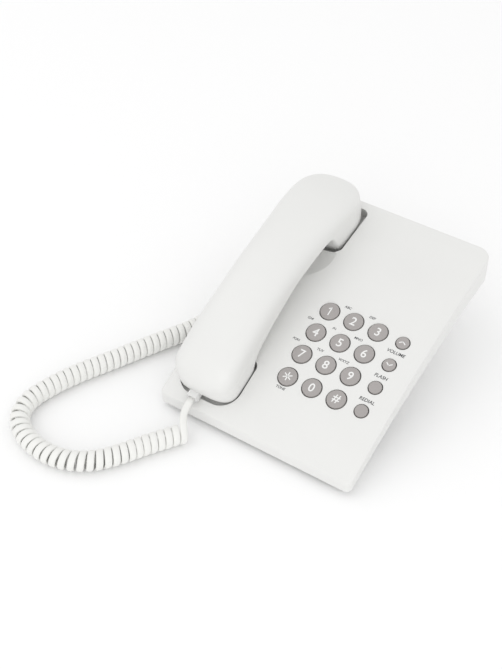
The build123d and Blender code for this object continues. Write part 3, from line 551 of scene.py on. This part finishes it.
# %% Deck lettering
DECK_CENTRE = mm * np.array((188.017, -599.758))
LETTERS = (
    ("ABC", -18.5, 36.8, 1.9), ("DEF", 0.5, 36.9, 1.9), ("GHI", -37.4, 17.9, 1.9), ("JKL", -18.5, 17.8, 1.9),
    ("MNO", 0.2, 17.9, 1.9), ("PQRS", -37.8, -0.9, 1.9), ("TUV", -18.6, -1.0, 1.9), ("WXYZ", -0.2, -1.3, 1.9),
    ("TONE", -28.6, -37.3, 1.9), ("VOLUME", 28.0, 19.6, 2.5), ("FLASH", 27.8, -0.6, 2.5), ("REDIAL", 28.0, -20.0, 2.5),
)


def on_deck(points, across, up, out):
    """Wraps flat points on the deck: the angle is the start's plus up over the radius, and out adds to the radius."""
    start = np.arcsin((KEYPAD_PLACE[1] - DECK_CENTRE[0]) / DECK_RADIUS)
    turn = start + (points[:, 1] + up) / DECK_RADIUS
    radius = DECK_RADIUS + points[:, 2] + out
    return np.stack([
        KEYPAD_PLACE[0] + points[:, 0] + across,
        DECK_CENTRE[0] + radius * np.sin(turn),
        DECK_CENTRE[1] + radius * np.cos(turn),
    ], -1)


for word, across, up, height in LETTERS:
    points, faces = text_points(word, mm * height, boldness=0.014, lean=0.12)
    print_height = on_deck(points, mm * across, mm * up, INK / 2)
    printed = add_mesh("deck_word_" + word, print_height, faces, False)
    printed.data.materials.append(grey_ink)
    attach(printed, "base")
print("words on the deck", len(LETTERS))

# %% [markdown]
# ## The handset's form
#
# A handset is soft all over: its ends are rounded in plan and from the side, its back is a long arc, and its
# waist is slimmer than its cups. A box with filleted edges looks hard beside it, so the form is a grid of
# sections instead. Along the handset run four numbers: half width, back, parting line and underside. Across it,
# each section is a squircle, with its own power above and below the parting line.

# %% Numbers along the handset
HANDSET_PLACE = mm * np.array((-46.0, 0.0, 48.53))
HANDSET_UP = np.array((0.0, -0.27854, 0.96042))
HANDSET_BACK = np.array((0.0, 0.96042, 0.27854))
STATIONS = 200
FRONT_END, REAR_END = -96.0, 97.5


def softened(along, points, width):
    """A broken line through (place, value) points, averaged over a window of this width."""
    knots = np.array(points)
    window = np.linspace(-width / 2, width / 2, 41)
    return np.interp(along[:, None] + window, knots[:, 0], knots[:, 1]).mean(1)


def end_closing(along, front_reach, rear_reach, power):
    """Zero at both ends and one beyond their reach: (1 - (1 - d / reach)^power)^(1 / power), d from the end."""
    front = np.clip((along - FRONT_END) / front_reach, 0, 1)
    rear = np.clip((REAR_END - along) / rear_reach, 0, 1)
    near = np.minimum(front, rear)
    return (1 - (1 - near) ** power) ** (1 / power)


station = FRONT_END + (REAR_END - FRONT_END) * (1 - np.cos(np.linspace(0.006, np.pi - 0.006, STATIONS))) / 2
back_arc = 36.0 - 300.0 + np.sqrt(300.0 ** 2 - (station - 2.0) ** 2)
parting = softened(station, (
    (-110, 6.0), (-90, 7.0), (-60, 14.0), (0, 20.5), (50, 18.0), (80, 12.0), (110, 9.5),
), 18.0)
half_width = softened(station, ((-110, 23.2), (-64, 23.2), (-30, 22.2), (5, 22.0), (34, 22.8), (60, 25.0), (110, 25.0)), 26.0)
underside = softened(station, (
    (-110, -12.0), (-63, -12.0), (-57, -2.0), (-30, 6.5), (2, 12.8), (40, 13.2), (47, 10.0), (53, -15.0), (110, -15.0),
), 5.0)
width_closing = end_closing(station, 16.0, 27.0, 2.5)
back_closing = end_closing(station, 16.0, 34.0, 2.1)
under_closing = end_closing(station, 12.0, 17.0, 2.0)
half = mm * half_width * width_closing
rise = mm * (back_arc - parting) * back_closing
drop = mm * (parting - underside) * under_closing
print("handset", REAR_END - FRONT_END, "mm long,", round(2 * half.max() * 1000, 1), "mm wide")

# %% [markdown]
# ## Two shells that meet
#
# The upper shell is the part of every section above the parting line, and the lower shell the part below it.
# Each is closed along the parting by a flat strip. The last points of both are drawn in by a quarter of a
# millimetre, which leaves the fine line that a real parting shows.

# %% Upper and lower shell
SHELL_AROUND = 61
PARTING_DRAW = 0.25 * mm


def squircle(angle, power):
    """The distance from the middle at an angle: 1 / (|cos|^power + |sin|^power)^(1 / power)."""
    return 1 / (np.abs(np.cos(angle)) ** power + np.abs(np.sin(angle)) ** power) ** (1 / power)


def shell(name, height, power, sign, node):
    """Half squircles: x is half width times r cos t, and w is the parting plus or minus height times r sin t."""
    t = np.linspace(0, np.pi, SHELL_AROUND)
    radius = squircle(t[None, :], power[:, None])
    x = half[:, None] * radius * np.cos(t)
    drawn = np.where((t == 0) | (t == np.pi), np.minimum(PARTING_DRAW, half[:, None] / 2), 0.0)
    x = x - np.sign(np.cos(t)) * drawn
    w = mm * parting[:, None] + sign * height[:, None] * radius * np.sin(t)
    v = np.broadcast_to(mm * station[:, None], x.shape)
    rings = HANDSET_PLACE + x[..., None] * ACROSS + v[..., None] * HANDSET_BACK + w[..., None] * HANDSET_UP
    piece = skin(name, rings)
    piece.data.set_sharp_from_angle(angle=np.radians(50))
    piece.data.materials.append(finishes["casing"])
    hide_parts(node)
    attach(piece, "handset")
    return piece


upper_power = softened(station, ((-110, 3.3), (-60, 3.2), (0, 3.0), (60, 2.7), (110, 2.5)), 30.0)
lower_power = softened(station, ((-110, 5.0), (-62, 5.5), (-50, 3.6), (40, 3.4), (56, 5.5), (110, 5.0)), 10.0)
upper_shell = shell("handset_back_shell", rise, upper_power, 1, "handset_upper_shell")
lower_shell = shell("handset_face_shell", drop, lower_power, -1, "handset_lower_shell")
print("shells have", len(upper_shell.data.polygons) + len(lower_shell.data.polygons), "faces")

# %% [markdown]
# ## Holes in the handset's faces
#
# Sound passes through small round holes over the receiver and the microphone, and two deep holes in the grip
# lead to screws. At this size a hole is drawn as a dark disc of painted shade, standing for the hole's shaded inside:
# each is a flat round plug, a hair proud of the face.

# %% Sound holes
HOLE_PROUD = 0.04


def discs(name, spots, radius, level, depth):
    """Flat rounds of this radius at (x, v) spots, whose outer faces lie a hair below level; one mesh."""
    t = np.linspace(0, 2 * np.pi, 24, endpoint=False)
    circle = np.stack([np.cos(t), np.sin(t)], -1) * radius
    points, faces = [], []
    for count, (x, v) in enumerate(spots):
        for w in (level - HOLE_PROUD, level + depth):
            points.append(np.c_[circle + (x, v), np.full(24, w)])
        low, high = 48 * count + np.arange(24), 48 * count + 24 + np.arange(24)
        faces += [low[::-1].tolist(), high.tolist()]
        faces += [(low[k], low[(k + 1) % 24], high[(k + 1) % 24], high[k]) for k in range(24)]
    local = mm * np.vstack(points)
    placed = HANDSET_PLACE + local[:, :1] * ACROSS + local[:, 1:2] * HANDSET_BACK + local[:, 2:] * HANDSET_UP
    piece = add_mesh(name, placed, [tuple(int(k) for k in face) for face in faces], False)
    # The black finish on these discs is painted shade for the inside of each hole.
    piece.data.materials.append(finishes["gasket_rubber"])
    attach(piece, "handset")
    return piece


ring_angle = np.linspace(0, 2 * np.pi, 8, endpoint=False)
ear_spots = [(0.0, 69.5)] + [(5 * np.cos(t), 69.5 + 5 * np.sin(t)) for t in ring_angle]
discs("ear_sound_holes", ear_spots, 0.9, -15.0, 0.4)
discs("mouth_sound_holes", [(-3.0, -72.5), (0.0, -72.5), (3.0, -72.5)], 0.9, -12.0, 0.4)
print("sound holes", len(ear_spots) + 3)

# %% [markdown]
# ## Clear modular plugs
#
# A modular plug is a clear block with a springy latch under it and four gilt blades near its nose. The block
# and the latch are lofts: stations along the plug's axis, each a rounded rectangle with its own half sizes.

# %% Plugs, latches and blades
SQUARE_POWER = 2 / 9
PLUG_AROUND = 32


def loft(name, place, across, up, out, stations):
    """Each station is (distance, shift, half width, half height); its ring is the axis point plus the half width
    times cos^p across and the half height times sin^p up, with the signs kept."""
    t = np.linspace(0, 2 * np.pi, PLUG_AROUND, endpoint=False)
    c = np.sign(np.cos(t)) * np.abs(np.cos(t)) ** SQUARE_POWER
    s = np.sign(np.sin(t)) * np.abs(np.sin(t)) ** SQUARE_POWER
    distance, shift, wide, high = (np.array(column)[:, None, None] * mm for column in zip(*stations))
    rings = place + distance * out + (wide * c[None, :, None]) * across + (shift + high * s[None, :, None]) * up
    return skin(name, rings)


def modular_plug(prefix, node, body, tip, across, up, out):
    """A clear block with soft edges, a latch that springs away from it, and four blades at its nose."""
    block = loft(prefix + "_plug_block", tip, across, up, out, (
        (-14.0, 0, 3.5, 3.0), (-13.7, 0, 3.8, 3.25), (-0.5, 0, 3.8, 3.25), (-0.1, 0, 3.6, 3.0), (0.0, 0, 3.3, 2.7),
    ))
    latch = loft(prefix + "_plug_latch", tip, across, up, out, (
        (-13.5, -3.0, 1.3, 0.4), (-9.0, -3.3, 1.5, 0.45), (-5.0, -3.4, 1.6, 0.45), (-1.0, -3.1, 1.5, 0.4), (1.2, -3.0, 1.4, 0.3),
    ))
    finishes_by = ((block, "plug_clear"), (latch, "plug_clear"))
    for piece, name in finishes_by:
        piece.data.materials.append(finishes[name])
        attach(piece, body)
    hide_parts(node)
    for count in range(4):
        shift = (count - 1.5) * 1.27 * mm
        blade = loft(f"{prefix}_plug_blade_{count + 1}", tip + shift * across, across, up, out, (
            (-13.2, 1.9, 0.14, 0.9), (-10.2, 1.9, 0.14, 0.9),
        ))
        blade.data.materials.append(gold)
        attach(blade, body)
    return block, latch


HANDSET_ALONG = np.array((0.0, -0.96042, -0.27854))
handset_plug = modular_plug(
    "handset", "handset_end_plug", "handset", HANDSET_EXIT, ACROSS, HANDSET_FLAT, HANDSET_ALONG,
)
LEFT = np.array((-1.0, 0.0, 0.0))
WALL_ALONG = np.array((0.0, 0.97570, 0.21911))
WALL_UP = np.array((0.0, -0.21911, 0.97570))
base_plug = modular_plug("base", "base_end_plug", "base", BASE_EXIT, WALL_ALONG, WALL_UP, LEFT)

# %% [markdown]
# ## The table and the light
#
# A plain pale table and soft, even light suit a white object: a wide lamp from the upper left gives it form,
# and a pale surround fills the shadows.

# %% Table and lamps
table_mesh = add_mesh("pale_table", np.array([(-3, -3, -0.0002), (3, -3, -0.0002), (3, 3, -0.0002), (-3, 3, -0.0002)]),
                      [(0, 1, 2, 3)], False)
table_finish = finish("table_white", (0.97, 0.97, 0.97), (0.96, 0.96, 0.96), (0.7, 0.8), 60, 0.0001, drift_scale=2.0)
table_mesh.data.materials.append(table_finish)

bpy.context.scene.view_settings.view_transform = "Standard"
world = bpy.data.worlds.new("studio")
bpy.context.scene.world = world
world.use_nodes = True
world.node_tree.nodes["Background"].inputs["Color"].default_value = (1.0, 1.0, 1.0, 1.0)
world.node_tree.nodes["Background"].inputs["Strength"].default_value = 0.92


def lamp(name, place, aim, size, power):
    """A square area lamp at a place, turned to face a point."""
    data = bpy.data.lights.new(name, "AREA")
    data.size = size
    data.energy = power
    made = bpy.data.objects.new(name, data)
    made.location = place
    away = np.array(place) - np.array(aim)
    made.rotation_euler = (
        np.arctan2(np.hypot(away[0], away[1]), away[2]), 0.0, np.arctan2(away[1], away[0]) + np.pi / 2,
    )
    bpy.context.scene.collection.objects.link(made)


lamp("window_light", (-0.9, -0.3, 1.4), (0.0, 0.0, 0.0), 1.4, 2.4)
lamp("front_fill", (0.7, -1.4, 0.9), (0.0, 0.0, 0.0), 1.6, 6.0)
print("table and lamps placed")

# %% The end
print("the scene is built")
